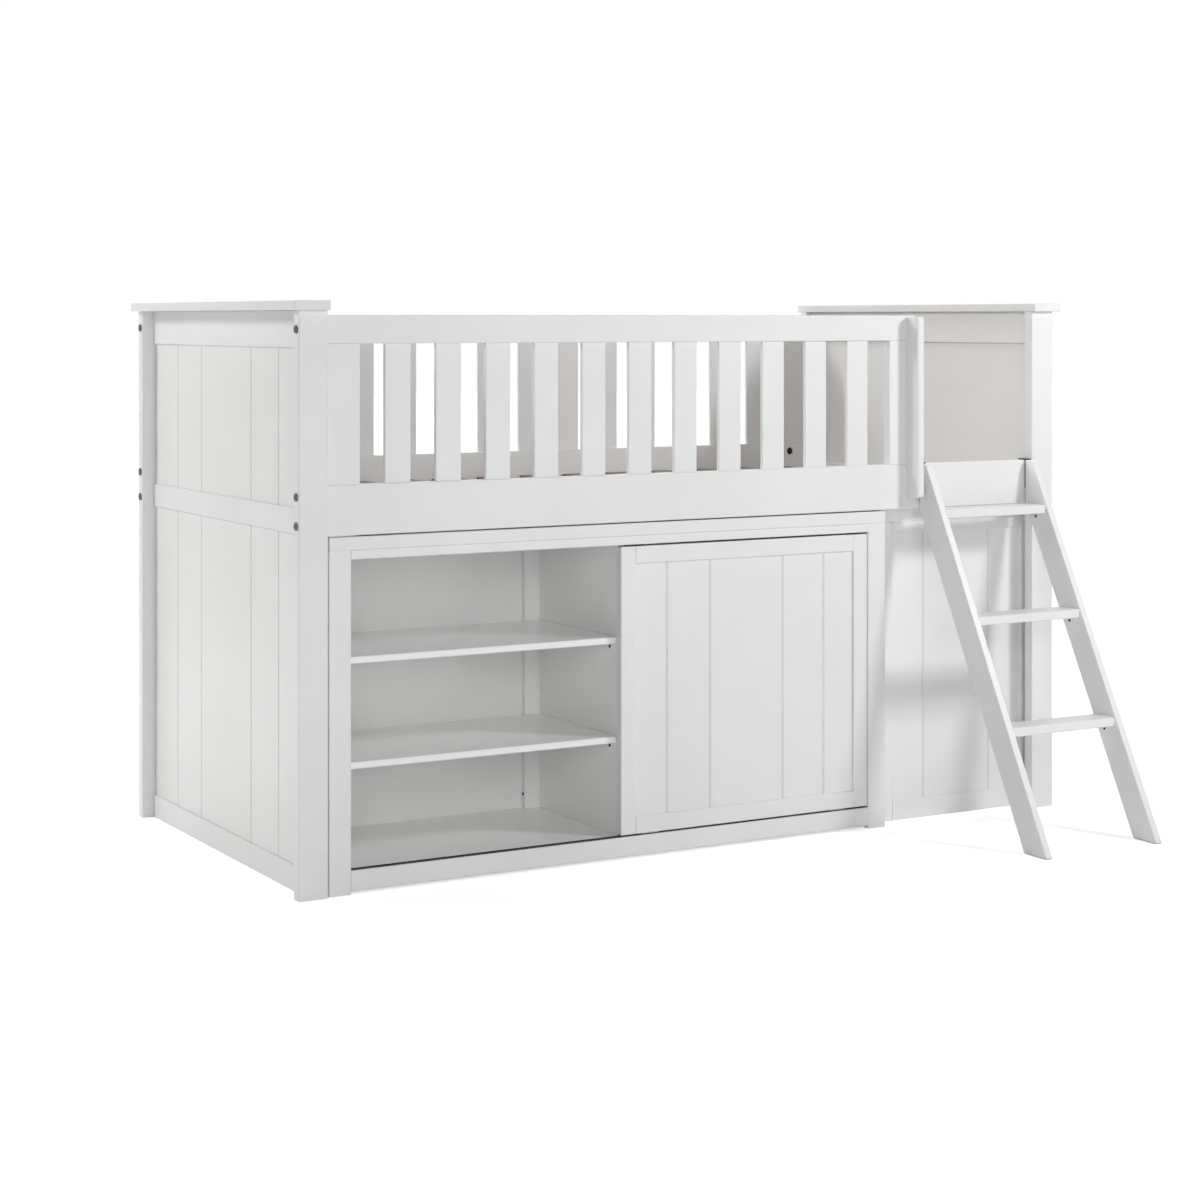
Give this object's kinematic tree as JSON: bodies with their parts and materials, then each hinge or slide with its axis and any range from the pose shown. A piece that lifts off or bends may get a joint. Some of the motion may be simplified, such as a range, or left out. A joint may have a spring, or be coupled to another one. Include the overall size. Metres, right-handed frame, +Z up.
{
  "type": "low loft bed",
  "caption": "Low loft bed of white painted wood: a slatted single bed with planked ends and slatted guards over a shelf cabinet with a sliding door, climbed by a hook-on ladder.",
  "frame": {"origin": "on the floor, at the centre of the rectangle that the bed and its ladder cover", "axes": "+X along the bed from the open shelves to the ladder, -Y to the front where the ladder stands, +Z up"},
  "size_m": [2.03, 1.4754, 1.24],
  "materials": {
    "white_paint": "satin white paint",
    "slat_wood": "bare planed",
    "dark_steel": "burnished dark",
    "track_plastic": "matt",
    "glide_plastic": "matt",
    "white_metal": "white lacquer",
    "black_metal": "matt black",
    "pad_rubber": "matt pale"
  },
  "bodies": {
    "bed_frame": {"front_left_post": "white_paint", "front_right_post": "white_paint", "rear_left_post": "white_paint", "rear_right_post": "white_paint", "left_end_cap": "white_paint", "right_end_cap": "white_paint", "left_end_top_rail": "white_paint", "left_end_middle_rail": "white_paint", "left_end_bottom_rail": "white_paint", "right_end_top_rail": "white_paint", "right_end_middle_rail": "white_paint", "right_end_bottom_rail": "white_paint", "left_end_upper_panel": "white_paint", "left_end_lower_panel": "white_paint", "right_end_upper_panel": "white_paint", "right_end_lower_panel": "white_paint", "front_side_rail": "white_paint", "rear_side_rail": "white_paint", "front_guard_rail": "white_paint", "rear_guard_rail": "white_paint", "front_guard_stiles": "white_paint", "front_guard_slats": "white_paint", "rear_guard_stiles": "white_paint", "rear_guard_slats": "white_paint", "slat_ledgers": "white_paint", "bed_slats": "slat_wood", "grab_handle": "white_paint", "frame_bolts": "dark_steel", "half_moon_nuts": "dark_steel", "cabinet_top": "white_paint", "cabinet_bottom": "white_paint", "cabinet_back": "white_paint", "back_battens": "white_paint", "cabinet_left_side": "white_paint", "cabinet_right_side": "white_paint", "cabinet_divider": "white_paint", "cabinet_left_stile": "white_paint", "cabinet_right_stile": "white_paint", "cabinet_head_rail": "white_paint", "cabinet_plinth": "white_paint", "left_shelves": "white_paint", "right_shelves": "white_paint", "shelf_brackets": "white_metal", "lower_door_track": "track_plastic", "upper_door_track": "track_plastic", "access_stiles": "white_paint", "access_rails": "white_paint", "access_panel": "white_paint", "access_cleat": "white_paint"},
    "sliding_door": {"door_stiles": "white_paint", "door_rails": "white_paint", "door_panel": "white_paint", "door_glides": "glide_plastic", "door_guides": "glide_plastic"},
    "ladder": {"ladder_left_stringer": "white_paint", "ladder_right_stringer": "white_paint", "ladder_treads": "white_paint", "tread_brackets": "white_metal", "ladder_hooks": "black_metal", "ladder_foot_pads": "pad_rubber"}
  },
  "joints": [
    {"name": "door_slide", "type": "slide", "parent": "bed_frame", "child": "sliding_door", "axis": [-1, 0, 0], "range_m": [0, 0.65]},
    {"name": "ladder_lift", "type": "slide", "parent": "bed_frame", "child": "ladder", "axis": [0, 0, 1], "range_m": [0, 0.12]}
  ]
}
